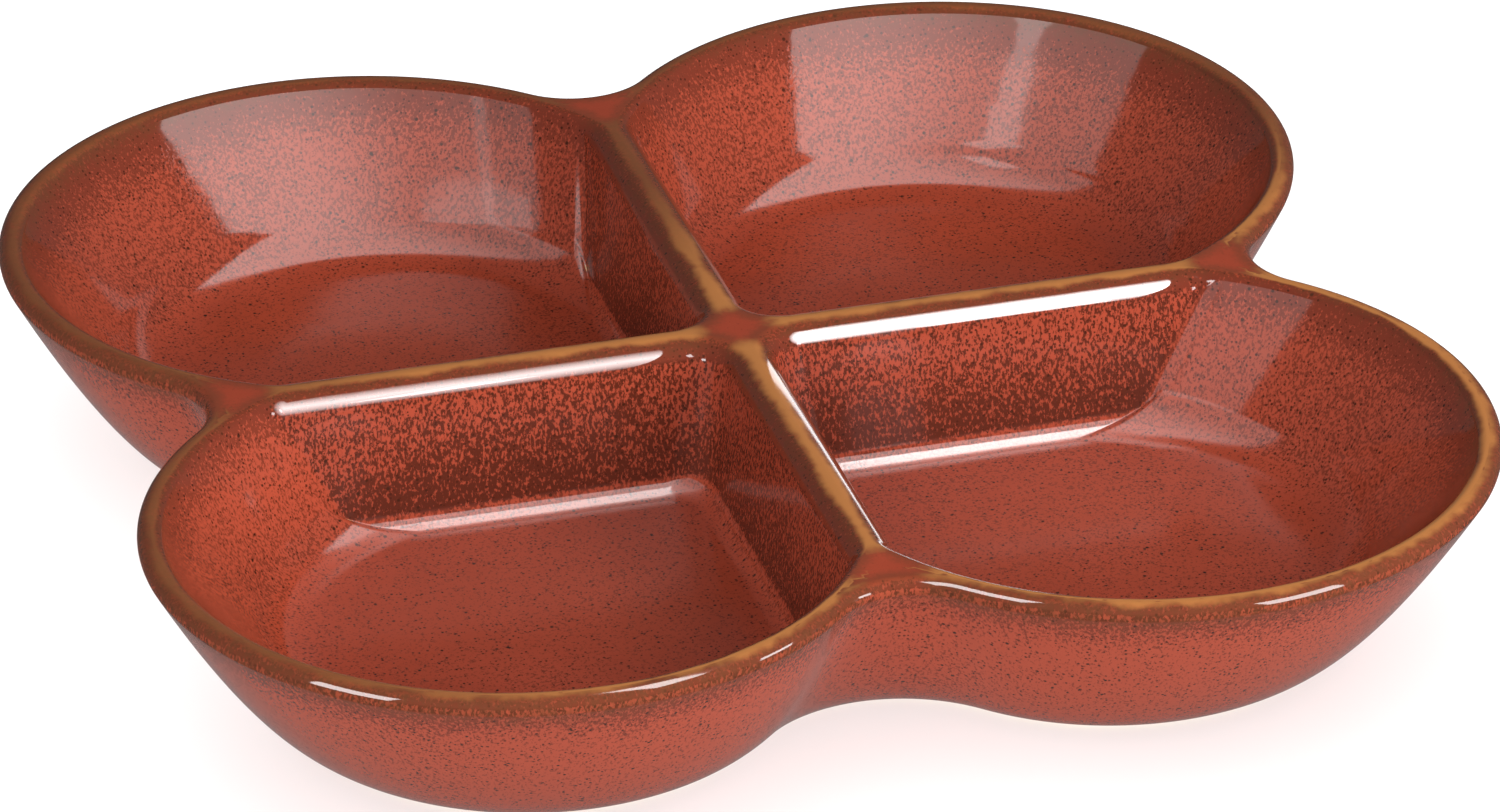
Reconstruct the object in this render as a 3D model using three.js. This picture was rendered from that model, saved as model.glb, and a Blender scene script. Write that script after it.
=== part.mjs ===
import * as THREE from 'three';

// A four-lobed serving dish in glazed stoneware. The clay body has four wells, parted by a cross
// of two dividers, and stands on a bare foot ring. The glaze lies on it in separate fields: one
// lining in each well, one band over the lip and the dividers, one coat on the outside wall and
// one under the base. Nothing moves.
// Millimetres, +Z up. The origin is on the table under the dish's centre, and the dividers run
// along X and Y.

// Plan at the lip
const LOBE_RADIUS = 67;              // outside of a lobe
const LOBE_OVERLAP = 18;             // how far two neighbouring lobes run into each other
const NOTCH_RADIUS = 15;             // hollow round between two lobes

// Plan at the foot
const FOOT_INSET = 25;               // the foot's lobes are smaller in radius by this much
const FOOT_DRAW_IN = 8;              // and their centres are closer together by this much
const FOOT_NOTCH_RADIUS = 30;
const FOOT_WIDTH = 5;
const FOOT_CHAMFER = 0.6;

// Heights
const DISH_HEIGHT = 40;
const WELL_DEPTH = 28;               // from the lip down to a well's glazed floor
const FOOT_HEIGHT = 1.2;             // the outside wall lands on the foot ring this high
const RECESS_DEPTH = 4.5;            // hollow under the base, inside the foot ring

// Lip, walls and dividers
const LIP_THICKNESS = 5;
const LIP_FLAT = 0.6;                // level land along the top of the lip
const OUTSIDE_LEAN = 23;             // degrees off upright, just under the lip
const WELL_LEAN = 28;                // degrees off upright, inside of the outer wall
const WELL_DRAW_IN = 11;             // lobe centres of the wells are closer together at the floor
const WELL_REACH = 2;                // least run of a well's lobe arc past its divider side
const DIVIDER_THICKNESS = 9.4;
const DIVIDER_FLAT = 0.4;            // level land along the top of a divider
const DIVIDER_LEAN = 9;              // degrees off upright
const CENTRE_CORNER = 7;             // upright corner of a well, next to the dish's centre
const NOTCH_CORNER = 10;             // upright corner of a well, next to a notch
const DIVIDER_FILLET = 4;             // between a divider and a well's floor
const WALL_FILLET = 13;              // between the outer wall and a well's floor
const RECESS_RUN = 3;                // how far the recess wall leans in

// Glaze
const GLAZE = 0.5;                   // thickness of every coat
const WALL_GLAZED = 0.93;            // share of the outside wall's curve that is glazed
const BASE_GLAZE_MARGIN = 1.5;       // bare clay left round the glaze under the base

// Facets
const LOBE_STEPS = 17;
const NOTCH_STEPS = 4;
const WELL_LOBE_STEPS = 16;
const WELL_CORNER_STEPS = 3;
const CREST_STEPS = 3;
const WALL_STEPS = 6;
const FILLET_STEPS = 4;

// Worked out from the sizes above; a spacing is centre to centre of two neighbouring lobes
const LOBE_SPACING = 2 * LOBE_RADIUS - LOBE_OVERLAP;
const FOOT_LOBE_SPACING = LOBE_SPACING - FOOT_DRAW_IN;
const FOOT_LOBE_RADIUS = LOBE_RADIUS - FOOT_INSET;
const WELL_FLOOR_SPACING = LOBE_SPACING - WELL_DRAW_IN;
const FLOOR_HEIGHT = DISH_HEIGHT - WELL_DEPTH;
const LIP_ROUND = (LIP_THICKNESS - LIP_FLAT) / 2;
const DIVIDER_ROUND = (DIVIDER_THICKNESS - DIVIDER_FLAT) / 2;

const radians = THREE.MathUtils.degToRad;
const mix = THREE.MathUtils.lerp;

// Points along a plan arc, from one angle to another, in degrees
function arc(x, y, radius, from, to, steps) {
  const points = [];
  for (let i = 0; i <= steps; i += 1) {
    const angle = radians(mix(from, to, i / steps));
    points.push([x + radius * Math.cos(angle), y + radius * Math.sin(angle)]);
  }
  return points;
}

// Quarter turns about the dish's centre
function turned(points, quarters) {
  let result = points;
  for (let i = 0; i < quarters; i += 1) {
    result = result.map(([x, y, ...rest]) => [-y, x, ...rest]);
  }
  return result;
}

// Plan outline of the whole dish: four lobes with a hollow round between each two
function quatrefoil({ spacing, radius, notch, z }) {
  const a = spacing / 2;
  const across = Math.sqrt((radius + notch) ** 2 - a * a);
  const swing = THREE.MathUtils.radToDeg(Math.atan2(a, across));
  const lobe = arc(a, a, radius, -swing, 90 + swing, LOBE_STEPS);
  const hollow = arc(0, a + across, notch, swing - 90, -swing - 90, NOTCH_STEPS);
  const quarter = [...lobe, ...hollow.slice(1, -1)].map(([x, y]) => [x, y, z]);
  return [0, 1, 2, 3].flatMap((k) => turned(quarter, k));
}

// Plan outline of one well: two straight divider sides, a lobe arc and three rounded corners.
// The divider sides and the lobe arc may lie at different heights, and the notch corners ramp
// from one to the other.
function wellOutline({ spacing, side, radius, centreCorner, notchCorner, dividerZ, lobeZ }) {
  const q = Math.min(spacing / 2, side + radius - WELL_REACH);
  const drop = q - side - notchCorner;
  const along = Math.sqrt((radius - notchCorner) ** 2 - drop * drop);
  const tilt = THREE.MathUtils.radToDeg(Math.atan2(-drop, along));
  const near = side + centreCorner;
  const low = side + notchCorner;
  const ramp = (points) => points.map(([x, y], i) => (
    [x, y, mix(dividerZ, lobeZ, i / (points.length - 1))]
  ));
  const centre = arc(near, near, centreCorner, 180, 270, WELL_CORNER_STEPS)
    .map(([x, y]) => [x, y, dividerZ]);
  const first = ramp(arc(q + along, low, notchCorner, -90, tilt, WELL_CORNER_STEPS));
  const lobe = arc(q, q, radius, tilt, 90 - tilt, WELL_LOBE_STEPS)
    .map(([x, y]) => [x, y, lobeZ]);
  const last = first.map(([x, y, z]) => [y, x, z]).reverse();
  return [...centre, ...first, ...lobe.slice(1, -1), ...last];
}

// Outline of the flat land on top of the lip: its outer edge
const LAND_RADIUS = LOBE_RADIUS - LIP_ROUND;
const LAND_NOTCH = NOTCH_RADIUS + LIP_ROUND;

// Rings from the land's outer edge over the lip and down the outside wall. A coat of 0 gives the
// glazed surface, and a coat of GLAZE gives the clay under it.
function lipRings(coat) {
  const crown = LIP_ROUND - coat;
  const rings = [];
  for (let i = 0; i <= CREST_STEPS; i += 1) {
    const angle = radians(mix(90, -OUTSIDE_LEAN, i / CREST_STEPS));
    const out = crown * Math.cos(angle);
    rings.push(quatrefoil({
      spacing: LOBE_SPACING,
      radius: LAND_RADIUS + out,
      notch: LAND_NOTCH - out,
      z: DISH_HEIGHT - LIP_ROUND + crown * Math.sin(angle),
    }));
  }
  return rings;
}

// The outside wall leaves the lip at its lean and curves under until it lies level at the foot.
function wallRing(coat, t) {
  const lean = radians(OUTSIDE_LEAN);
  const startInset = LIP_ROUND - LIP_ROUND * Math.cos(lean);
  const startZ = DISH_HEIGHT - LIP_ROUND - LIP_ROUND * Math.sin(lean);
  const bendInset = startInset + (startZ - FOOT_HEIGHT) * Math.tan(lean);
  const curve = new THREE.QuadraticBezierCurve(
    new THREE.Vector2(startInset, startZ),
    new THREE.Vector2(bendInset, FOOT_HEIGHT),
    new THREE.Vector2(FOOT_INSET, FOOT_HEIGHT),
  );
  const point = curve.getPoint(t);
  const along = curve.getTangent(t);
  const inward = -along.y * coat;
  const sunk = (startZ - point.y) / (startZ - FOOT_HEIGHT);
  return quatrefoil({
    spacing: mix(LOBE_SPACING, FOOT_LOBE_SPACING, sunk),
    radius: LOBE_RADIUS - point.x - inward,
    notch: mix(NOTCH_RADIUS, FOOT_NOTCH_RADIUS, sunk) + inward,
    z: point.y + along.x * coat,
  });
}

function wallRings(coat) {
  const rings = [];
  for (let i = 1; i <= WALL_STEPS; i += 1) {
    rings.push(wallRing(coat, (WALL_GLAZED * i) / WALL_STEPS));
  }
  return rings;
}

// A ring of the bare foot, set in from the foot's outer edge
function footRing(inset, z) {
  return quatrefoil({
    spacing: FOOT_LOBE_SPACING,
    radius: FOOT_LOBE_RADIUS - inset,
    notch: FOOT_NOTCH_RADIUS + inset,
    z,
  });
}

// One side of a well in section, from the land's inner edge over the crest and down to the floor.
// The inset grows towards the middle of the well, and sunk is 0 at the crest and 1 at the floor.
function wellSide({ round, lean, foot, coat }) {
  const crown = round - coat;
  const fillet = foot + coat;
  const top = DISH_HEIGHT - round;
  const low = FLOOR_HEIGHT + foot;
  const fall = (top - low) * Math.sin(radians(lean));
  const middle = (round + foot + fall) / Math.cos(radians(lean));
  const steps = [];
  for (let i = 0; i <= CREST_STEPS; i += 1) {
    const angle = radians(mix(90, lean, i / CREST_STEPS));
    steps.push({ inset: crown * Math.cos(angle), z: top + crown * Math.sin(angle), sunk: 0 });
  }
  for (let i = 0; i <= FILLET_STEPS; i += 1) {
    const angle = radians(mix(lean, 90, i / FILLET_STEPS));
    const inset = middle - fillet * Math.cos(angle);
    steps.push({ inset, z: low - fillet * Math.sin(angle), sunk: 1 });
  }
  return steps;
}

// Rings of one well, from the land's inner edge down to the floor
function wellRings(coat, quarter) {
  const dividers = wellSide({ round: DIVIDER_ROUND, lean: DIVIDER_LEAN, foot: DIVIDER_FILLET, coat });
  const walls = wellSide({ round: LIP_ROUND, lean: WELL_LEAN, foot: WALL_FILLET, coat });
  return dividers.map((divider, i) => {
    const wall = walls[i];
    const outline = wellOutline({
      spacing: mix(LOBE_SPACING, WELL_FLOOR_SPACING, wall.sunk),
      side: DIVIDER_FLAT / 2 + divider.inset,
      radius: LOBE_RADIUS - LIP_THICKNESS + LIP_ROUND - wall.inset,
      centreCorner: CENTRE_CORNER + coat + Math.max(DIVIDER_ROUND - coat - divider.inset, 0),
      notchCorner: NOTCH_CORNER + coat + Math.max(LIP_ROUND - coat - wall.inset, 0),
      dividerZ: divider.z,
      lobeZ: wall.z,
    });
    return turned(outline, quarter);
  });
}

// A closed surface, gathered ring by ring. Every ring runs anticlockwise seen from above.
class Skin {
  constructor() {
    this.points = [];
    this.faces = [];
  }

  ring(points) {
    const first = this.points.length;
    this.points.push(...points);
    return points.map((_, i) => first + i);
  }

  rings(list) {
    return list.map((points) => this.ring(points));
  }

  // Joins each ring to the next. Down the outside of a piece the surface faces out, and up its
  // inside it faces in. Each quad is split from its higher ring, whichever way it is walked, so
  // that two pieces that meet have the same facets.
  walk(rings) {
    for (let k = 0; k + 1 < rings.length; k += 1) {
      const a = rings[k];
      const b = rings[k + 1];
      for (let i = 0; i < a.length; i += 1) {
        const j = (i + 1) % a.length;
        const falling = this.points[a[i]][2] >= this.points[b[i]][2];
        this.faces.push([a[i], b[i], falling ? b[j] : a[j]]);
        this.faces.push([falling ? a[i] : b[i], b[j], a[j]]);
      }
    }
  }

  // Fills a level ring, less any rings inside it, and faces the fill up or down
  fill(ring, holes, up) {
    const plan = (loop) => loop.map((i) => new THREE.Vector2(this.points[i][0], this.points[i][1]));
    const inner = holes.map((hole) => [...hole].reverse());
    const flat = [...ring, ...inner.flat()];
    for (const [a, b, c] of THREE.ShapeUtils.triangulateShape(plan(ring), inner.map(plan))) {
      this.faces.push(up ? [flat[a], flat[b], flat[c]] : [flat[a], flat[c], flat[b]]);
    }
  }

  mesh(name, color, roughness) {
    const geometry = new THREE.BufferGeometry();
    geometry.setAttribute('position', new THREE.Float32BufferAttribute(this.points.flat(), 3));
    geometry.setIndex(this.faces.flat());
    geometry.computeVertexNormals();
    const material = new THREE.MeshStandardMaterial({ color, roughness, metalness: 0 });
    const mesh = new THREE.Mesh(geometry, material);
    mesh.name = name;
    return mesh;
  }
}

const QUARTERS = [0, 1, 2, 3];
const WELL_NAMES = ['back_right', 'back_left', 'front_left', 'front_right'];
const CREST_END = CREST_STEPS;

// The clay body: land, lip, outside wall, foot ring and recess, and the four wells
function stonewareBody() {
  const skin = new Skin();
  const inner = FOOT_WIDTH - FOOT_CHAMFER;
  const outside = skin.rings([
    ...lipRings(GLAZE),
    ...wallRings(GLAZE),
    wallRing(GLAZE, 1),
    footRing(0, FOOT_CHAMFER),
    footRing(FOOT_CHAMFER, 0),
    footRing(inner, 0),
    footRing(FOOT_WIDTH, FOOT_CHAMFER),
    footRing(FOOT_WIDTH + RECESS_RUN, RECESS_DEPTH),
  ]);
  const wells = QUARTERS.map((quarter) => skin.rings(wellRings(GLAZE, quarter)));
  skin.walk(outside);
  skin.fill(outside.at(-1), [], false);
  for (const well of wells) {
    skin.walk([...well].reverse());
    skin.fill(well.at(-1), [], true);
  }
  skin.fill(outside[0], wells.map((well) => well[0]), true);
  return skin.mesh('stoneware_body', 0xc8a27c, 0.85);
}

// The band of thin glaze over the lip and along the tops of both dividers
function rimGlaze() {
  const skin = new Skin();
  const outer = skin.rings(lipRings(0));
  const outerClay = skin.rings(lipRings(GLAZE));
  const crests = (coat) => QUARTERS.map((quarter) => (
    skin.rings(wellRings(coat, quarter).slice(0, CREST_END + 1))
  ));
  const wells = crests(0);
  const wellsClay = crests(GLAZE);
  skin.walk([...outer, ...[...outerClay].reverse()]);
  for (const quarter of QUARTERS) {
    skin.walk([...wellsClay[quarter], ...[...wells[quarter]].reverse()]);
  }
  skin.fill(outer[0], wells.map((well) => well[0]), true);
  skin.fill(outerClay[0], wellsClay.map((well) => well[0]), false);
  return skin.mesh('rim_glaze', 0xa06a30, 0.2);
}

// The coat on the outside wall, from the lip down to just above the foot
function outsideGlaze() {
  const skin = new Skin();
  const front = skin.rings([lipRings(0).at(-1), ...wallRings(0)]);
  const back = skin.rings([lipRings(GLAZE).at(-1), ...wallRings(GLAZE)]);
  skin.walk([...front, ...back.reverse(), front[0]]);
  return skin.mesh('outside_glaze', 0xa24a38, 0.2);
}

// The lining of one well: side walls, fillet and floor
function wellGlaze(quarter) {
  const skin = new Skin();
  const front = skin.rings(wellRings(0, quarter).slice(CREST_END));
  const back = skin.rings(wellRings(GLAZE, quarter).slice(CREST_END));
  skin.walk([...[...front].reverse(), ...back]);
  skin.fill(front.at(-1), [], true);
  skin.fill(back.at(-1), [], false);
  return skin.mesh(`well_glaze_${WELL_NAMES[quarter]}`, 0xa8483a, 0.15);
}

// The glaze in the recess under the base
function baseGlaze() {
  const skin = new Skin();
  const inset = FOOT_WIDTH + RECESS_RUN + BASE_GLAZE_MARGIN;
  const rings = skin.rings([footRing(inset, RECESS_DEPTH), footRing(inset, RECESS_DEPTH - GLAZE)]);
  skin.walk(rings);
  skin.fill(rings[0], [], true);
  skin.fill(rings[1], [], false);
  return skin.mesh('base_glaze', 0x9a4636, 0.25);
}

const dish = new THREE.Group();
dish.name = 'divided_dish';
dish.add(stonewareBody());
dish.add(rimGlaze());
dish.add(outsideGlaze());
for (const quarter of QUARTERS) dish.add(wellGlaze(quarter));
dish.add(baseGlaze());

export default dish;
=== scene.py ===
import math
from functools import reduce

import bpy
import numpy as np
from mathutils import Matrix, Quaternion, Vector
from mathutils.geometry import delaunay_2d_cdt


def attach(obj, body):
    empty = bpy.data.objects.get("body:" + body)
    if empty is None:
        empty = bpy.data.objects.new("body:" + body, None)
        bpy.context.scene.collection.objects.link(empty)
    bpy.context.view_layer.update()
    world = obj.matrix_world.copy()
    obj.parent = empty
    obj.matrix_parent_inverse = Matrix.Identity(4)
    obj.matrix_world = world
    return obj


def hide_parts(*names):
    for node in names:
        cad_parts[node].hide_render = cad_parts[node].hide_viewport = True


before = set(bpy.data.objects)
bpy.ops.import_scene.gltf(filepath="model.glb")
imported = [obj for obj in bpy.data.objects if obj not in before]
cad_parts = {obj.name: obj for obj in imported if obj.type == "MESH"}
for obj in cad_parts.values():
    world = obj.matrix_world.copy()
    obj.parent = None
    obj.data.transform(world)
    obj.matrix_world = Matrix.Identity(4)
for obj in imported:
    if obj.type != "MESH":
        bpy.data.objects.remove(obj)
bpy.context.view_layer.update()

# A four-lobed serving dish in speckled red glaze. Its dividers run along X and Y.
# Sizes are in millimetres and degrees, and MM takes them to the frame's metres.
MM = 0.001

# Plan at the lip
LOBE_RADIUS = 67.0
LOBE_OVERLAP = 18.0
NOTCH_RADIUS = 15.0

# Plan at the foot
FOOT_INSET = 25.0
FOOT_DRAW_IN = 8.0
FOOT_NOTCH_RADIUS = 30.0
FOOT_WIDTH = 5.0
FOOT_ROUND = 0.6

# Heights
DISH_HEIGHT = 40.0
WELL_DEPTH = 28.0
FOOT_HEIGHT = 1.2
RECESS_DEPTH = 4.5

# Lip, walls and dividers
LIP_THICKNESS = 5.0
LIP_FLAT = 0.6
OUTSIDE_LEAN = 23.0
WELL_LEAN = 28.0
WELL_DRAW_IN = 11.0
WELL_REACH = 2.0
DIVIDER_THICKNESS = 9.4
DIVIDER_FLAT = 0.4
DIVIDER_LEAN = 9.0
CENTRE_CORNER = 7.0
NOTCH_CORNER = 10.0
DIVIDER_FILLET = 4.0
WALL_FILLET = 13.0
RECESS_RUN = 3.0

# Glaze
GLAZE = 0.5
WALL_GLAZED = 0.93
BASE_GLAZE_MARGIN = 1.5

# Worked out from the sizes above
LOBE_SPACING = 2 * LOBE_RADIUS - LOBE_OVERLAP
FOOT_LOBE_SPACING = LOBE_SPACING - FOOT_DRAW_IN
FOOT_LOBE_RADIUS = LOBE_RADIUS - FOOT_INSET
WELL_FLOOR_SPACING = LOBE_SPACING - WELL_DRAW_IN
FLOOR_HEIGHT = DISH_HEIGHT - WELL_DEPTH
LIP_ROUND = (LIP_THICKNESS - LIP_FLAT) / 2
DIVIDER_ROUND = (DIVIDER_THICKNESS - DIVIDER_FLAT) / 2

# Mesh steps and limits
LOBE_STEPS = 120
NOTCH_STEPS = 28
WELL_LOBE_STEPS = 128
WELL_CORNER_STEPS = 18
WELL_SIDE_STEPS = 40
CREST_STEPS = 14
FACE_STEPS = 18
FILLET_STEPS = 12
FLOOR_STEPS = 14
WALL_STEPS = 36
FOOT_ROUND_STEPS = 4
HIDDEN_STEP = 3
LAND_GRID = 1.1
SAME_SPOT = 1e-7
KEY_DIGITS = 4


def mix(a, b, share):
    return a + (b - a) * share


def arc(x, y, radius, start, end, steps):
    """Plan points along an arc, from one angle to another."""
    angles = np.radians(np.linspace(start, end, steps + 1))
    return np.column_stack([x + radius * np.cos(angles), y + radius * np.sin(angles)])


def at_height(plan, z):
    """Plan points at a height, or each at its own height."""
    return np.column_stack([plan, np.broadcast_to(z, len(plan))])


def turned(points, quarters):
    """Points after some quarter turns about the dish's centre."""
    angle = quarters * math.pi / 2
    cos, sin = round(math.cos(angle)), round(math.sin(angle))
    x, y, z = points.T
    return np.column_stack([cos * x - sin * y, sin * x + cos * y, z])


def quatrefoil(spacing, radius, notch, z):
    """Plan outline of the dish: four lobes with a hollow round between each two."""
    a = spacing / 2
    across = math.sqrt((radius + notch) ** 2 - a * a)
    swing = math.degrees(math.atan2(a, across))
    lobe = arc(a, a, radius, -swing, 90 + swing, LOBE_STEPS)
    hollow = arc(0, a + across, notch, swing - 90, -swing - 90, NOTCH_STEPS)
    quarter = at_height(np.vstack([lobe, hollow[1:-1]]), z)
    return np.vstack([turned(quarter, k) for k in range(4)])


def well_outline(spacing, side, radius, centre_corner, notch_corner, divider_z, lobe_z):
    """Plan outline of a well: two straight divider sides, a lobe arc and three rounded corners."""
    q = min(spacing / 2, side + radius - WELL_REACH)
    drop = q - side - notch_corner
    along = math.sqrt((radius - notch_corner) ** 2 - drop * drop)
    tilt = math.degrees(math.atan2(-drop, along))
    near = side + centre_corner
    share = np.linspace(0, 1, WELL_CORNER_STEPS + 1)
    ramp = mix(divider_z, lobe_z, share * share * (3 - 2 * share))
    run = np.linspace(near, q + along, WELL_SIDE_STEPS + 1)[1:-1]
    centre = at_height(arc(near, near, centre_corner, 180, 270, WELL_CORNER_STEPS), divider_z)
    straight = at_height(np.column_stack([run, np.full(len(run), side)]), divider_z)
    corner = arc(q + along, side + notch_corner, notch_corner, -90, tilt, WELL_CORNER_STEPS)
    corner = at_height(corner, ramp)
    lobe = at_height(arc(q, q, radius, tilt, 90 - tilt, WELL_LOBE_STEPS)[1:-1], lobe_z)
    back_along = [part[::-1, [1, 0, 2]] for part in (corner, straight)]
    return np.vstack([centre, straight, corner, lobe, *back_along])


def lip_rings(coat):
    """Rings from the land's edge over the lip. A coat of 0 is the glaze's surface, GLAZE the clay's."""
    crown = LIP_ROUND - coat
    rings = []
    for angle in np.radians(np.linspace(90, -OUTSIDE_LEAN, CREST_STEPS + 1)):
        set_in = LIP_ROUND - crown * math.cos(angle)
        rings.append(quatrefoil(
            LOBE_SPACING, LOBE_RADIUS - set_in, NOTCH_RADIUS + set_in,
            DISH_HEIGHT - LIP_ROUND + crown * math.sin(angle)))
    return rings


def wall_ring(coat, share):
    """A ring of the outside wall, which leaves the lip at its lean and comes level at the foot."""
    lean = math.radians(OUTSIDE_LEAN)
    start = np.array([LIP_ROUND * (1 - math.cos(lean)),
                      DISH_HEIGHT - LIP_ROUND * (1 + math.sin(lean))])
    bend = np.array([start[0] + (start[1] - FOOT_HEIGHT) * math.tan(lean), FOOT_HEIGHT])
    end = np.array([FOOT_INSET, FOOT_HEIGHT])
    inset, z = mix(mix(start, bend, share), mix(bend, end, share), share)
    along = mix(bend - start, end - bend, share)
    along /= np.linalg.norm(along)
    sunk = (start[1] - z) / (start[1] - FOOT_HEIGHT)
    inset -= along[1] * coat
    notch = mix(NOTCH_RADIUS, FOOT_NOTCH_RADIUS, sunk) - along[1] * coat
    spacing = mix(LOBE_SPACING, FOOT_LOBE_SPACING, sunk)
    return quatrefoil(spacing, LOBE_RADIUS - inset, notch, z + along[0] * coat)


def wall_rings(coat):
    return [wall_ring(coat, WALL_GLAZED * i / WALL_STEPS) for i in range(1, WALL_STEPS + 1)]


def foot_ring(inset, z):
    return quatrefoil(FOOT_LOBE_SPACING, FOOT_LOBE_RADIUS - inset, FOOT_NOTCH_RADIUS + inset, z)


def well_side(round_, lean, foot, coat):
    """One side of a well in section, as rows of inset, height and share of the way down."""
    top = DISH_HEIGHT - round_
    low = FLOOR_HEIGHT + foot
    tilt = math.radians(lean)
    middle = (round_ + foot + (top - low) * math.sin(tilt)) / math.cos(tilt)
    crest = np.radians(np.linspace(90, lean, CREST_STEPS + 1))
    curve = np.radians(np.linspace(lean, 90, FILLET_STEPS + 1))
    crown, fillet = round_ - coat, foot + coat
    crest = np.column_stack([crown * np.cos(crest), top + crown * np.sin(crest), 0 * crest])
    curve = np.column_stack(
        [middle - fillet * np.cos(curve), low - fillet * np.sin(curve), 0 * curve + 1])
    face = [mix(crest[-1], curve[0], i / FACE_STEPS) for i in range(1, FACE_STEPS)]
    return np.vstack([crest, face, curve])


def well_rings(coat, quarter):
    """Rings of one well, from the land's edge over the crest and down to the floor."""
    dividers = well_side(DIVIDER_ROUND, DIVIDER_LEAN, DIVIDER_FILLET, coat)
    walls = well_side(LIP_ROUND, WELL_LEAN, WALL_FILLET, coat)
    rings = []
    for (divider_inset, divider_z, _), (wall_inset, wall_z, sunk) in zip(dividers, walls):
        outline = well_outline(
            mix(LOBE_SPACING, WELL_FLOOR_SPACING, sunk),
            DIVIDER_FLAT / 2 + divider_inset,
            LOBE_RADIUS - LIP_THICKNESS + LIP_ROUND - wall_inset,
            CENTRE_CORNER + coat + max(DIVIDER_ROUND - coat - divider_inset, 0),
            NOTCH_CORNER + coat + max(LIP_ROUND - coat - wall_inset, 0),
            divider_z, wall_z)
        rings.append(turned(outline, quarter))
    return rings


def shrunk_rings(ring):
    """Rings that close a level ring towards its middle, and the middle itself."""
    middle = ring.mean(axis=0)
    shares = np.linspace(0, 1, FLOOR_STEPS + 1)[1:-1]
    return [mix(ring, middle, share) for share in shares], middle


def inside(points, loop):
    """Which plan points lie inside a loop."""
    result = np.zeros(len(points), bool)
    x, y = points.T
    for (ax, ay), (bx, by) in zip(loop, np.roll(loop, -1, axis=0)):
        crosses = (ay > y) != (by > y)
        if ay != by:
            result ^= crosses & (x < ax + (y - ay) / (by - ay) * (bx - ax))
    return result


def nearest(points, others):
    """Each plan point's distance to the nearest of the others, and which one that is."""
    gaps = np.hypot(points[:, :1] - others[:, 0], points[:, 1:] - others[:, 1])
    return gaps.min(axis=1), gaps.argmin(axis=1)


class Skin:
    """A surface, gathered ring by ring. Every ring runs anticlockwise seen from above.
    Each point has an edge value, its way down from the land, below 0 inside the land,
    and a breadth, the width of the land beside it, below 0 on the outer side of the lip."""

    FAR = 60.0
    NO_LENGTH = 1e-12

    def __init__(self):
        self.points = np.empty((0, 3))
        self.edge = np.empty(0)
        self.breadth = np.empty(0)
        self.faces = []

    def ring(self, points, edge=FAR, breadth=0.0):
        first = len(self.points)
        self.points = np.vstack([self.points, points])
        self.edge = np.append(self.edge, np.broadcast_to(edge, len(points)))
        self.breadth = np.append(self.breadth, np.broadcast_to(breadth, len(points)))
        return np.arange(first, len(self.points))

    def rings(self, rings, edges=None, breadth=0.0):
        edges = edges or [self.FAR] * len(rings)
        return [self.ring(points, edge, breadth) for points, edge in zip(rings, edges)]

    def walk(self, rings):
        for a, b in zip(rings, rings[1:]):
            self.faces += np.column_stack([a, b, np.roll(b, -1), np.roll(a, -1)]).tolist()

    def fan(self, ring, middle, up, edge=FAR):
        hub = np.broadcast_to(self.ring([middle], edge), len(ring))
        after = np.roll(ring, -1)
        self.faces += np.column_stack([hub, ring, after] if up else [hub, after, ring]).tolist()

    def floor(self, ring, up):
        """Closes a level ring."""
        rings, middle = shrunk_rings(self.points[ring])
        rings = [ring] + self.rings(rings)
        self.walk(rings[::-1] if up else rings)
        self.fan(rings[-1], middle, up)

    def land(self, ring, holes, up):
        """Fills a level ring less the rings inside it, with a grid of points between them."""
        loops = [ring, *holes]
        known = np.concatenate(loops)
        plan = self.points[known, :2]
        firsts = np.cumsum([0] + [len(loop) for loop in loops])
        borders = [(first + i, first + (i + 1) % len(loop))
                   for first, loop in zip(firsts, loops) for i in range(len(loop))]
        low, high = plan.min(axis=0), plan.max(axis=0)
        x, y = np.meshgrid(*(np.arange(a, b, LAND_GRID) for a, b in zip(low, high)))
        grid = np.column_stack([x.ravel(), y.ravel()])
        grid = grid[self.on_land(grid, ring, holes)]
        depth, border = nearest(grid, plan)
        clear = depth > LAND_GRID / 2
        grid, depth, breadth = grid[clear], depth[clear], self.breadth[known[border[clear]]]
        known = np.append(known, self.ring(at_height(grid, self.points[ring[0], 2]), -depth, breadth))
        spots, _, faces, origins, _, _ = delaunay_2d_cdt(
            [Vector(p) for p in np.vstack([plan, grid])], borders, [], 0, SAME_SPOT)
        spots = np.array(spots)
        middles = np.array([spots[face].mean(axis=0) for face in faces])
        for face, kept in zip(faces, self.on_land(middles, ring, holes)):
            if kept:
                a, b, c = spots[face]
                upward = np.cross(b - a, c - a) > 0
                corners = [int(known[origins[i][0]]) for i in face]
                self.faces.append(corners if upward == up else corners[::-1])

    def on_land(self, plan, ring, holes):
        result = inside(plan, self.points[ring, :2])
        for hole in holes:
            result &= ~inside(plan, self.points[hole, :2])
        return result

    def normals(self):
        """Each point's normal, from the faces round it."""
        result = np.zeros_like(self.points)
        for size in (3, 4):
            faces = [face for face in self.faces if len(face) == size]
            faces = np.array(faces, int).reshape(-1, size)
            corners = self.points[faces]
            normals = np.cross(corners[:, 2] - corners[:, 0], corners[:, -1] - corners[:, 1])
            for column in faces.T:
                np.add.at(result, column, normals)
        lengths = np.linalg.norm(result, axis=1, keepdims=True)
        return result / np.maximum(lengths, self.NO_LENGTH)


def ways_down(rings):
    """For each ring, every point's way down from the first ring."""
    ways = [np.zeros(len(rings[0]))]
    for above, below in zip(rings, rings[1:]):
        ways.append(ways[-1] + np.linalg.norm(below - above, axis=1))
    return ways


def land_breadths():
    """The land's width at each point of its outer edge, set below 0, and of its edge round a well."""
    outer = lip_rings(0)[0][:, :2]
    well, *others = [well_rings(0, quarter)[0][:, :2] for quarter in range(4)]
    across_lip, _ = nearest(outer, np.vstack([well, *others]))
    across_well, _ = nearest(well, np.vstack([outer, *others]))
    return -across_lip, across_well


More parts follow.
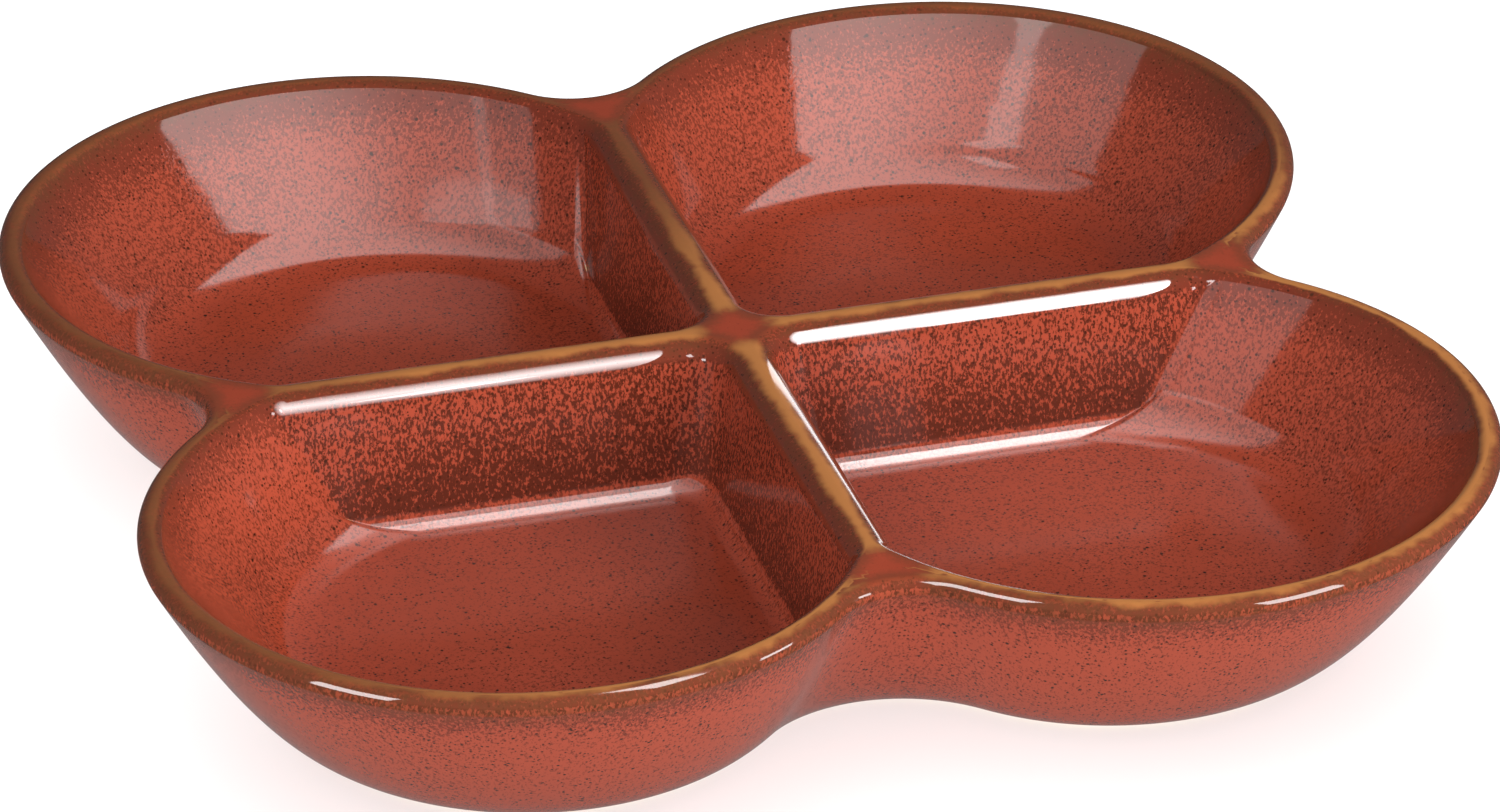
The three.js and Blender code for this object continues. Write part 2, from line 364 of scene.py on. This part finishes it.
LIP_BREADTH, WELL_BREADTH = land_breadths()


class Front:
    """The whole glazed surface seen from outside, which the glaze fields share."""

    def __init__(self):
        self.skin = Skin()
        outer = lip_rings(0) + wall_rings(0)
        self.outer = self.skin.rings(outer, ways_down(outer), LIP_BREADTH)
        self.wells = []
        for quarter in range(4):
            rings = well_rings(0, quarter)
            self.wells.append(self.skin.rings(rings, ways_down(rings), WELL_BREADTH))
            self.skin.walk(self.wells[-1][::-1])
            self.skin.floor(self.wells[-1][-1], True)
        self.skin.walk(self.outer)
        self.skin.land(self.outer[0], [well[0] for well in self.wells], True)
        self.normals = dict(zip(self.keys(self.skin), self.skin.normals()))

    @staticmethod
    def keys(skin):
        return map(tuple, np.round(skin.points, KEY_DIGITS))

    def normals_at(self, skin):
        """The normals of a skin's points, from the front where they are on it."""
        own = skin.normals()
        return [self.normals.get(key, normal) for key, normal in zip(self.keys(skin), own)]


def thinned(rings, every):
    """Some of the rings, the first and the last among them."""
    return rings[:-1:every] + rings[-1:]


def rim_skin():
    """The band of glaze over the lip and along the tops of both dividers."""
    skin = Skin()
    rings = lip_rings(0)
    outer = skin.rings(rings, ways_down(rings), LIP_BREADTH)
    outer_clay = skin.rings(thinned(lip_rings(GLAZE), HIDDEN_STEP))
    skin.walk(outer + outer_clay[::-1])
    wells, wells_clay = [], []
    for quarter in range(4):
        rings = well_rings(0, quarter)[:CREST_STEPS + 1]
        wells.append(skin.rings(rings, ways_down(rings), WELL_BREADTH))
        clay = well_rings(GLAZE, quarter)[:CREST_STEPS + 1]
        wells_clay.append(skin.rings(thinned(clay, HIDDEN_STEP)))
        skin.walk(wells_clay[-1] + wells[-1][::-1])
    skin.land(outer[0], [well[0] for well in wells], True)
    skin.land(outer_clay[0], [well[0] for well in wells_clay], False)
    return skin


def well_skin(quarter):
    """The lining of one well: its side walls, fillet and floor."""
    skin = Skin()
    rings = well_rings(0, quarter)
    ways = ways_down(rings)
    front = skin.rings(rings[CREST_STEPS:], ways[CREST_STEPS:], WELL_BREADTH)
    back = skin.rings(thinned(well_rings(GLAZE, quarter)[CREST_STEPS:], HIDDEN_STEP))
    skin.walk(front[::-1] + back)
    skin.floor(front[-1], True)
    skin.floor(back[-1], False)
    return skin


def outside_skin():
    """The coat on the outside wall, from the lip down to just above the foot."""
    skin = Skin()
    rings = lip_rings(0) + wall_rings(0)
    ways = ways_down(rings)
    front = skin.rings(rings[CREST_STEPS:], ways[CREST_STEPS:], LIP_BREADTH)
    clay = [lip_rings(GLAZE)[-1]] + wall_rings(GLAZE)
    back = skin.rings(thinned(clay, HIDDEN_STEP))
    skin.walk(front + back[::-1] + front[:1])
    return skin


def foot_rings():
    """Rings of the bare foot, round its lower edges and up to the recess."""
    rings = []
    for angle in np.radians(np.linspace(0, 90, FOOT_ROUND_STEPS + 1)):
        rings.append((FOOT_ROUND * (1 - math.cos(angle)), FOOT_ROUND * (1 - math.sin(angle))))
    rings += [(FOOT_WIDTH - inset, z) for inset, z in rings[::-1]]
    rings.append((FOOT_WIDTH + RECESS_RUN, RECESS_DEPTH))
    return [foot_ring(inset, z) for inset, z in rings]


def body_skin():
    """The clay body, which shows at its bare foot and in the recess under it."""
    skin = Skin()
    clay = thinned(lip_rings(GLAZE), HIDDEN_STEP) + thinned(wall_rings(GLAZE), HIDDEN_STEP)
    outer = skin.rings(clay + [wall_ring(GLAZE, 1)] + foot_rings())
    skin.walk(outer)
    skin.floor(outer[-1], False)
    wells = []
    for quarter in range(4):
        wells.append(skin.rings(thinned(well_rings(GLAZE, quarter), HIDDEN_STEP)))
        skin.walk(wells[-1][::-1])
        skin.floor(wells[-1][-1], True)
    skin.land(outer[0], [well[0] for well in wells], True)
    return skin


def base_skin():
    """The glaze in the recess under the base."""
    skin = Skin()
    inset = FOOT_WIDTH + RECESS_RUN + BASE_GLAZE_MARGIN
    rings = skin.rings([foot_ring(inset, RECESS_DEPTH), foot_ring(inset, RECESS_DEPTH - GLAZE)])
    skin.walk(rings)
    skin.floor(rings[0], True)
    skin.floor(rings[1], False)
    return skin


def make_piece(name, skin, material, front=None):
    """Makes a mesh object of a skin, which rides on the dish in place of the CAD node of its name.
    A skin that is part of the front takes its normals, so that the fields' borders don't show."""
    mesh = bpy.data.meshes.new(name)
    mesh.from_pydata([Vector(p) * MM for p in skin.points], [], skin.faces)
    mesh.shade_smooth()
    for key in ("edge", "breadth"):
        mesh.attributes.new(key, "FLOAT", "POINT").data.foreach_set("value", getattr(skin, key))
    mesh.materials.append(material)
    if front:
        mesh.normals_split_custom_set_from_vertices(front.normals_at(skin))
    piece = bpy.data.objects.new(f"{name}_surface", mesh)
    bpy.context.scene.collection.objects.link(piece)
    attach(piece, "root")
    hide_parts(name)
    return piece


class Tree:
    """A material's nodes, with short calls that add a node and link its inputs."""

    def __init__(self, name):
        self.material = bpy.data.materials.new(name)
        self.material.use_nodes = True
        self.nodes = self.material.node_tree.nodes
        self.links = self.material.node_tree.links
        self.shader = self.nodes["Principled BSDF"]

    def put(self, socket, value):
        if isinstance(value, bpy.types.NodeSocket):
            self.links.new(value, socket)
        else:
            socket.default_value = value

    def node(self, kind, inputs, **settings):
        node = self.nodes.new(f"ShaderNode{kind}")
        for key, value in settings.items():
            setattr(node, key, value)
        for key, value in inputs.items():
            self.put(node.inputs[key], value)
        return node

    def calc(self, operation, a, b=0.0):
        return self.node("Math", {0: a, 1: b}, operation=operation).outputs[0]

    def times(self, *values):
        return reduce(lambda a, b: self.calc("MULTIPLY", a, b), values)

    def plus(self, *values):
        return reduce(lambda a, b: self.calc("ADD", a, b), values)

    def size_of(self, value):
        """A value without its sign."""
        return self.calc("ABSOLUTE", value)

    def parts(self, vector):
        return self.node("SeparateXYZ", {0: vector}).outputs

    def place(self, height_share=1.0):
        """Where a point is on the dish, in millimetres, with only a share of its height."""
        spot = self.node("TexCoord", {}).outputs["Object"]
        scale = (1 / MM, 1 / MM, height_share / MM)
        return self.node("VectorMath", {0: spot, 1: scale}, operation="MULTIPLY").outputs[0]

    def noise(self, place, size, detail=2.0, roughness=0.5):
        inputs = {"Vector": place, "Scale": 1 / size, "Detail": detail, "Roughness": roughness}
        return self.node("TexNoise", inputs).outputs[0]

    def swing(self, *settings, **more):
        """Noise that swings either way of 0."""
        return self.calc("SUBTRACT", self.noise(*settings, **more), 0.5)

    def attribute(self, name):
        return self.node("Attribute", {}, attribute_name=name).outputs["Fac"]

    def specks(self, place, spacing, largest):
        """Spots of many sizes, scattered a spacing apart, the largest a share of it in radius."""
        cells = self.node("TexVoronoi", {"Vector": place, "Scale": 1 / spacing})
        size = self.parts(cells.outputs["Color"])[0]
        depth = self.calc("SUBTRACT", self.times(size, largest), cells.outputs["Distance"])
        return self.rise(depth, *SPECK_EDGE)

    def rise(self, value, low, high):
        """0 up to low, 1 from high on, and smooth between them."""
        inputs = {"Value": value, "From Min": low, "From Max": high}
        return self.node("MapRange", inputs, interpolation_type="SMOOTHSTEP").outputs[0]

    def fall(self, value, low, high):
        """1 up to low, 0 from high on, and smooth between them."""
        return self.calc("SUBTRACT", 1.0, self.rise(value, low, high))

    def mix(self, share, a, b):
        inputs = {"Value": share, "To Min": a, "To Max": b}
        return self.node("MapRange", inputs).outputs[0]

    def blend(self, share, a, b):
        node = self.node("Mix", {"Factor": share}, data_type="RGBA")
        for socket, colour in zip((s for s in node.inputs if s.type == "RGBA"), (a, b)):
            self.put(socket, colour if isinstance(colour, bpy.types.NodeSocket) else (*colour, 1))
        return next(s for s in node.outputs if s.type == "RGBA")

    def bump(self, height, distance, strength, under=None):
        inputs = {"Height": height, "Distance": distance * MM, "Strength": strength}
        if under:
            inputs["Normal"] = under
        return self.node("Bump", inputs).outputs[0]


# Glaze colours, as linear light
RED_DEEP = (0.290, 0.0425, 0.0175)
RED_BRIGHT = (0.340, 0.0515, 0.0220)
# Paler and pinker than the reds above: a painted reflection, the grey sheen that the sloped walls reflect
RED_WITH_WALL_REFLECTION = (0.320, 0.0580, 0.0300)
DRIP = (0.046, 0.0105, 0.0058)
DARK = (0.035, 0.0110, 0.0055)
BROWN = (0.105, 0.0370, 0.0150)
AMBER = (0.420, 0.1600, 0.0450)

# Sizes of the glaze's patterns. The drips take half of the height, so that they come out twice as long.
PATCH_SIZE = 24.0
DRIP_SIZE = 0.52
DRIP_HEIGHT_SHARE = 0.5
FINE_SPACING = 0.85
COARSE_SPACING = 1.9
WANDER_SIZE = 2.6
FRINGE_SIZE = 0.8
AMBER_PATCH_SIZE = 14.0
PEEL_SIZE = 7.0
PEEL_DEPTH = 0.05
PIT_DEPTH = 0.006

# The two values between which each mask turns. A slope is 0 on a level face and 1 on an upright one.
PATCH_EDGE = (-0.2, 0.2)
DRIP_EDGE = (0.13, 0.26)
SPECK_EDGE = (-0.04, 0.06)
SLOPED = (0.05, 0.3)
WALL_SLOPED = (0.02, 0.3)
DIVIDER_SLOPED = (0.6, 0.8)
FACING_UP = (-0.1, 0.1)
LOW_DOWN = (13.0, 34.0)
OFF_LAND = (-0.5, 3.0)
UNDER_EDGE = (3.0, 16.0)
NARROW_LAND = (1.0, 4.0)
OUTER_SIDE = (-0.4, 0.4)
BROWN_REACH = (-1.0, 7.0)
AMBER_REACH = (-0.3, 1.8)
AWAY_FROM_LEFT = (-115.0, -50.0)
TOWARDS_BACK = (10.0, 65.0)
PITTED = (5.0, 9.0)

# What each of these is where its mask is empty, and where its mask is full
DRIPS_ON_WALL = (0.30, 0.52)
DRIPS_UNDER_EDGE = (0.45, 0.50)
DRIPS_ON_DIVIDER = (0.55, 0.84)
DRIP_COVER = (0.60, 0.85)
BROWN_INSIDE = (0.75, 1.0)
BROWN_COVER = (0.55, 0.88)
AMBER_SHIFT = (-0.6, 0.4)
AMBER_FROM_LEFT = (0.20, 1.0)
GLAZE_ROUGHNESS = (0.16, 0.06)

# Shares and weights that are the same everywhere
# How much of the painted wall reflection the sloped walls take
WALL_REFLECTION_COVER = 0.7
FINE_LARGEST = 0.34
FINE_COVER = 0.85
COARSE_LARGEST = 0.20
COARSE_COVER = 0.9
DIVIDER_SHADE = 0.15
PATCH_PULL = 0.5
DRIP_PULL = 0.34
LAND_REACH = -2.2
BROWN_WANDER = 4.0
BROWN_FRINGE = 7.0
AMBER_WANDER = 1.6
AMBER_PATCHES = 4.0
AMBER_AT_BACK = 0.15
PEEL_STRENGTH = 0.8
PIT_STRENGTH = 0.4


class Lie:
    """How a point of the glaze lies on the dish, as values that the patterns share."""

    def __init__(self, tree):
        self.place = tree.place()
        self.drawn_down = tree.place(DRIP_HEIGHT_SHARE)
        self.right, self.back, height = tree.parts(self.place)
        level = tree.parts(tree.node("NewGeometry", {}).outputs["Normal"])[2]
        self.within = tree.rise(level, *FACING_UP)
        self.slope = tree.calc("SUBTRACT", 1.0, tree.size_of(level))
        self.sloped = tree.rise(self.slope, *SLOPED)
        self.divider = tree.rise(self.slope, *DIVIDER_SLOPED)
        self.low_down = tree.fall(height, *LOW_DOWN)
        self.edge = tree.attribute("edge")
        self.off_land = tree.rise(self.edge, *OFF_LAND)
        breadth = tree.attribute("breadth")
        self.narrow = tree.fall(tree.size_of(breadth), *NARROW_LAND)
        self.outer_side = tree.fall(breadth, *OUTER_SIDE)


def drip_mask(tree, lie, patches):
    """Drips, sparse on a floor and outside, thicker on a wall and thickest low on a divider."""
    wall = tree.times(tree.rise(lie.slope, *WALL_SLOPED), lie.within)
    under_edge = tree.times(tree.fall(lie.edge, *UNDER_EDGE), tree.mix(lie.within, *DRIPS_UNDER_EDGE))
    share = tree.plus(tree.mix(wall, *DRIPS_ON_WALL), under_edge)
    share = tree.mix(lie.divider, share, tree.mix(lie.low_down, *DRIPS_ON_DIVIDER))
    share = tree.times(tree.plus(share, tree.times(patches, PATCH_PULL)), lie.off_land)
    streaks = tree.swing(lie.drawn_down, DRIP_SIZE, detail=3, roughness=0.6)
    return tree.rise(tree.plus(streaks, tree.times(share, DRIP_PULL)), *DRIP_EDGE)


def brown_mask(tree, lie, wander):
    """Brown where the glaze thins at an edge, with a ragged fringe."""
    down = tree.times(lie.edge, tree.mix(lie.within, *BROWN_INSIDE))
    reach = tree.calc("MAXIMUM", down, tree.times(lie.edge, LAND_REACH))
    fringe = tree.swing(lie.drawn_down, FRINGE_SIZE, detail=3, roughness=0.6)
    ragged = tree.plus(reach, tree.times(wander, BROWN_WANDER), tree.times(fringe, BROWN_FRINGE))
    return tree.times(tree.fall(ragged, *BROWN_REACH), tree.mix(lie.narrow, *BROWN_COVER))


def amber_mask(tree, lie, wander):
    """Amber on a narrow crest, least at the back and on the left."""
    patches = tree.swing(lie.place, AMBER_PATCH_SIZE, detail=3)
    thin = tree.plus(tree.size_of(lie.edge), tree.times(wander, AMBER_WANDER),
                     tree.times(patches, AMBER_PATCHES), tree.mix(lie.outer_side, *AMBER_SHIFT))
    ahead = tree.mix(tree.rise(lie.right, *AWAY_FROM_LEFT), *AMBER_FROM_LEFT)
    cover = tree.mix(tree.rise(lie.back, *TOWARDS_BACK), ahead, AMBER_AT_BACK)
    return tree.times(tree.fall(thin, *AMBER_REACH), lie.narrow, cover)


def glaze_material(name):
    """A glossy red glaze that breaks to amber and brown on the edges, with dark drips and specks, painted
    shade low on the dividers and a painted reflection on the sloped walls.
    """
    tree = Tree(name)
    lie = Lie(tree)
    patches = tree.swing(lie.place, PATCH_SIZE, detail=3)
    wander = tree.swing(lie.place, WANDER_SIZE)
    drip = drip_mask(tree, lie, patches)
    fine = tree.times(tree.specks(lie.place, FINE_SPACING, FINE_LARGEST), lie.off_land)
    coarse = tree.times(tree.specks(lie.place, COARSE_SPACING, COARSE_LARGEST), lie.off_land)

    colour = tree.blend(tree.rise(patches, *PATCH_EDGE), RED_DEEP, RED_BRIGHT)
    # Painted reflection: the sloped walls get a paler, pinker red for the sheen they reflect
    colour = tree.blend(tree.times(lie.sloped, WALL_REFLECTION_COVER), colour, RED_WITH_WALL_REFLECTION)
    colour = tree.blend(tree.times(drip, tree.mix(lie.divider, *DRIP_COVER)), colour, DRIP)
    colour = tree.blend(tree.times(lie.divider, lie.low_down, DIVIDER_SHADE), colour, DARK)
    colour = tree.blend(tree.times(fine, FINE_COVER), colour, DRIP)
    colour = tree.blend(tree.times(coarse, COARSE_COVER), colour, DARK)
    colour = tree.blend(brown_mask(tree, lie, wander), colour, BROWN)
    colour = tree.blend(amber_mask(tree, lie, wander), colour, AMBER)

    tree.put(tree.shader.inputs["Base Color"], colour)
    tree.put(tree.shader.inputs["Roughness"], tree.mix(lie.sloped, *GLAZE_ROUGHNESS))
    peel = tree.bump(tree.swing(lie.place, PEEL_SIZE, detail=1), PEEL_DEPTH, PEEL_STRENGTH)
    pits = tree.times(tree.calc("MAXIMUM", coarse, drip), tree.rise(lie.edge, *PITTED))
    tree.put(tree.shader.inputs["Normal"], tree.bump(pits, -PIT_DEPTH, PIT_STRENGTH, peel))
    return tree.material


# Bare clay: colours as linear light, sizes in millimetres
CLAY_DARK = (0.50, 0.31, 0.17)
CLAY_PALE = (0.62, 0.40, 0.23)
CLAY_GRAIN = (0.36, 0.19, 0.09)
CLAY_PATCH_SIZE = 9.0
GRAIN_SIZE = 0.6
GRAIN_DEPTH = 0.08
GRAIN_STRENGTH = 0.5
GRAIN_EDGE = (0.55, 0.75)
CLAY_ROUGHNESS = 0.85


def clay_material():
    """Bare stoneware, pale and sandy."""
    tree = Tree("bare_stoneware")
    place = tree.place()
    grain = tree.noise(place, GRAIN_SIZE, detail=4, roughness=0.6)
    colour = tree.blend(tree.noise(place, CLAY_PATCH_SIZE, detail=3), CLAY_DARK, CLAY_PALE)
    colour = tree.blend(tree.rise(grain, *GRAIN_EDGE), colour, CLAY_GRAIN)
    tree.put(tree.shader.inputs["Base Color"], colour)
    tree.put(tree.shader.inputs["Roughness"], CLAY_ROUGHNESS)
    tree.put(tree.shader.inputs["Normal"], tree.bump(grain, GRAIN_DEPTH, GRAIN_STRENGTH))
    return tree.material


WELL_NAMES = ("back_right", "back_left", "front_left", "front_right")

front = Front()
glaze = glaze_material("red_glaze")
pieces = {"body": make_piece("stoneware_body", body_skin(), clay_material())}
pieces["rim"] = make_piece("rim_glaze", rim_skin(), glaze, front)
pieces["outside"] = make_piece("outside_glaze", outside_skin(), glaze, front)
for number, well in enumerate(WELL_NAMES):
    pieces[well] = make_piece(f"well_glaze_{well}", well_skin(number), glaze, front)
pieces["base"] = make_piece("base_glaze", base_skin(), glaze)


# The camera, which looks at the middle of the lip's plane and is then shifted across and up, in metres
CAMERA_TARGET = Vector((0, 0, DISH_HEIGHT)) * MM
CAMERA_AZIMUTH = -16.03
CAMERA_ELEVATION = 28.23
CAMERA_ROLL = -0.238
CAMERA_DISTANCE = 1.7814
CAMERA_ACROSS = -0.00262
CAMERA_UP = 0.01479
CAMERA_FOCAL_PIXELS = 9644.9
IMAGE_WIDTH = 1500
SENSOR_WIDTH = 36.0

# The floor, in metres, and the world
FLOOR_HALF_WIDTH = 4.0
FLOOR_COLOUR = (0.9, 0.9, 0.9, 1)
FLOOR_ROUGHNESS = 0.9
WORLD_COLOUR = (1, 1, 1, 1)
WORLD_STRENGTH = 0.1


def make_camera():
    azimuth, elevation, roll = map(math.radians, (CAMERA_AZIMUTH, CAMERA_ELEVATION, CAMERA_ROLL))
    back = Vector((math.sin(azimuth) * math.cos(elevation),
                   -math.cos(azimuth) * math.cos(elevation), math.sin(elevation)))
    right = Vector((math.cos(azimuth), math.sin(azimuth), 0))
    up = back.cross(right)
    right, up = (math.cos(roll) * right + math.sin(roll) * up,
                 math.cos(roll) * up - math.sin(roll) * right)
    data = bpy.data.cameras.new("camera")
    data.sensor_width = SENSOR_WIDTH
    data.lens = CAMERA_FOCAL_PIXELS / IMAGE_WIDTH * SENSOR_WIDTH
    camera = bpy.data.objects.new("camera", data)
    place = CAMERA_TARGET + back * CAMERA_DISTANCE - right * CAMERA_ACROSS - up * CAMERA_UP
    turn = Matrix((right, up, back)).transposed()
    camera.matrix_world = Matrix.LocRotScale(place, turn, None)
    bpy.context.scene.collection.objects.link(camera)
    bpy.context.scene.camera = camera


def make_floor():
    corners = [(-1, -1, 0), (1, -1, 0), (1, 1, 0), (-1, 1, 0)]
    mesh = bpy.data.meshes.new("floor")
    mesh.from_pydata([Vector(corner) * FLOOR_HALF_WIDTH for corner in corners], [], [(0, 1, 2, 3)])
    tree = Tree("white_floor")
    tree.put(tree.shader.inputs["Base Color"], FLOOR_COLOUR)
    tree.put(tree.shader.inputs["Roughness"], FLOOR_ROUGHNESS)
    mesh.materials.append(tree.material)
    floor = bpy.data.objects.new("floor", mesh)
    bpy.context.scene.collection.objects.link(floor)
    floor.visible_glossy = False
    return floor


def linked(name, objects):
    """A collection of objects, for a light's linking."""
    collection = bpy.data.collections.new(name)
    for item in objects:
        collection.objects.link(item)
    return collection


def soft_box(name, place, target, size, radiance, lights=None, roll=0.0, shape="RECTANGLE"):
    """A flat light that faces a target, and lights everything or only some objects."""
    width, height = size
    data = bpy.data.lights.new(name, "AREA")
    data.shape = shape
    data.size, data.size_y = width, height
    data.energy = radiance * math.pi * width * height
    light = bpy.data.objects.new(name, data)
    place, target = Vector(place), Vector(target)
    facing = (target - place).to_track_quat("-Z", "Y") @ Quaternion((0, 0, 1), math.radians(roll))
    light.matrix_world = Matrix.LocRotScale(place, facing, None)
    light.visible_camera = False
    bpy.context.scene.collection.objects.link(light)
    if lights:
        light.light_linking.receiver_collection = linked(f"{name}_receivers", lights)
    return light


def diffuse_light(*settings, **more):
    """A light that gives no reflection of itself."""
    light = soft_box(*settings, **more)
    light.visible_glossy = False
    return light


def reflection_card(*settings, **more):
    """A light that shows only as a reflection."""
    light = soft_box(*settings, **more)
    light.visible_diffuse = False
    return light


def fade(light, start, end, left_share):
    """Dims a light towards its left side, between two shares of its width, to a share of its strength."""
    light.data.use_nodes = True
    tree = light.data.node_tree
    spot = tree.nodes.new("ShaderNodeNewGeometry")
    parts = tree.nodes.new("ShaderNodeSeparateXYZ")
    ramp = tree.nodes.new("ShaderNodeMapRange")
    ramp.interpolation_type = "SMOOTHSTEP"
    ramp.inputs["From Min"].default_value = start
    ramp.inputs["From Max"].default_value = end
    ramp.inputs["To Min"].default_value = left_share
    tree.links.new(spot.outputs["Parametric"], parts.inputs[0])
    tree.links.new(parts.outputs[0], ramp.inputs["Value"])
    tree.links.new(ramp.outputs[0], tree.nodes["Emission"].inputs["Strength"])


def make_world():
    world = bpy.data.worlds.new("studio")
    world.use_nodes = True
    background = world.node_tree.nodes["Background"]
    background.inputs["Color"].default_value = WORLD_COLOUR
    background.inputs["Strength"].default_value = WORLD_STRENGTH
    bpy.context.scene.world = world


make_camera()
floor = make_floor()
make_world()
dish = list(pieces.values())
wells = [pieces[name] for name in WELL_NAMES]
rim = [pieces["rim"]]
outside = [pieces["outside"]]

# Light on the dish and on the floor, in metres
DISH_MIDDLE = (0, 0, 0.03)
WALL_FILL_SIZE = (0.5, 0.3)
diffuse_light("sky_box", (0, 0, 1.1), (0, 0, 0), size=(3.0, 3.0), radiance=0.12)
diffuse_light("key_box", (0.75, -0.62, 0.52), DISH_MIDDLE, size=(0.9, 0.7), radiance=8.7, lights=dish)
diffuse_light("fill_box", (-0.60, -0.85, 0.55), DISH_MIDDLE, size=(0.8, 0.6), radiance=8.1, lights=dish)
diffuse_light("left_wall_fill", (1.0, -0.35, 0.30), DISH_MIDDLE, WALL_FILL_SIZE, radiance=7.5,
              lights=[pieces["front_left"]])
diffuse_light("right_wall_fill", (-1.0, -0.30, 0.25), DISH_MIDDLE, WALL_FILL_SIZE, radiance=4.0,
              lights=[pieces["back_right"], pieces["front_right"]])
floor_light = diffuse_light("floor_light", (0, 0, 1.2), (0, 0, 0), size=(4.0, 4.0), radiance=1.75,
                            lights=[floor])
floor_light.light_linking.blocker_collection = linked("floor_light_blockers", [floor])

# Reflections in the wells
overhead = reflection_card("overhead_box", (-0.25, -0.5, 0.8), (-0.25, -0.5, 0), size=(1.9, 1.6),
                           radiance=4.4, lights=wells)
fade(overhead, start=0.3, end=0.8, left_share=0.32)
reflection_card("left_wall_box", (-1.20, -0.42, 0.60), (0, -0.42, 0.60), size=(0.54, 0.60),
                radiance=1.1, lights=[pieces["back_left"]])
reflection_card("left_strip", (-0.42, -0.30, 0.79), (-0.42, -0.30, 0), size=(0.2, 0.34),
                radiance=2.8, lights=[pieces["back_right"]])
reflection_card("left_window", (-0.121, 0.028, 0.095), (-0.024, 0.097, 0.022), size=(0.088, 0.012),
                radiance=1.7, lights=[pieces["back_left"]], roll=30)
reflection_card("right_window", (-0.745, -0.405, 0.405), (0.095, -0.015, 0.03), size=(0.50, 0.36),
                radiance=1.2, lights=[pieces["front_right"]])
FOOT_CARD_SIZE = (0.078, 0.30)
FOOT_AIM = Vector((0, 0.16, -0.99))
for side, x, radiance in (("left", 0.05, 9.0), ("right", 0.15, 18.0)):
    place = Vector((x, -0.06, 0.38))
    lit = [pieces[f"front_{side}"]]
    reflection_card(f"{side}_foot_card", place, place + FOOT_AIM, FOOT_CARD_SIZE, radiance, lights=lit)

# Reflections on the crests of the dividers, from cards whose light spreads little
CREST_CARD_SIZE = (0.086, 0.046)
CREST_CARD_SPREAD = 68
CREST_AIM = Vector((-0.243, 0.776, -0.582))
for side, x, radiance in (("left", -0.054, 2.2), ("right", 0.045, 6.3)):
    place = Vector((x, -0.0195, 0.049))
    card = reflection_card(f"{side}_crest_card", place, place + CREST_AIM, CREST_CARD_SIZE, radiance,
                           lights=rim, shape="ELLIPSE")
    card.data.spread = math.radians(CREST_CARD_SPREAD)
reflection_card("crest_line_card", (0.035, -0.006, 0.0445), (0.035, -1.0, 0.0445), size=(0.056, 0.008),
                radiance=5.0, lights=rim)

# Reflections on the lip: for each card a spot on the lip, and the way from it to the card
LIP_CARD_SIZE = (0.040, 0.034)
LIP_CARD_DISTANCE = 0.060
LIP_CARD_RADIANCE = 14.0
LIP_CARD_WAYS = {
    "left": ((-0.100, -0.108, 0.039), (-0.817, -0.423, 0.391)),
    "front": ((-0.003, -0.108, 0.039), (-0.410, -0.270, 0.870)),
    "right": ((0.067, -0.124, 0.039), (0.533, -0.752, 0.387)),
}
for side, (spot, way) in LIP_CARD_WAYS.items():
    place = Vector(spot) + LIP_CARD_DISTANCE * Vector(way)
    reflection_card(f"{side}_lip_card", place, spot, LIP_CARD_SIZE, LIP_CARD_RADIANCE, lights=rim)

# The floor's glow on the outside
reflection_card("floor_glow", (0, 0, 0.001), (0, 0, 1), size=(1.0, 1.0), radiance=0.15, lights=outside)

bpy.context.scene.view_settings.view_transform = "Standard"
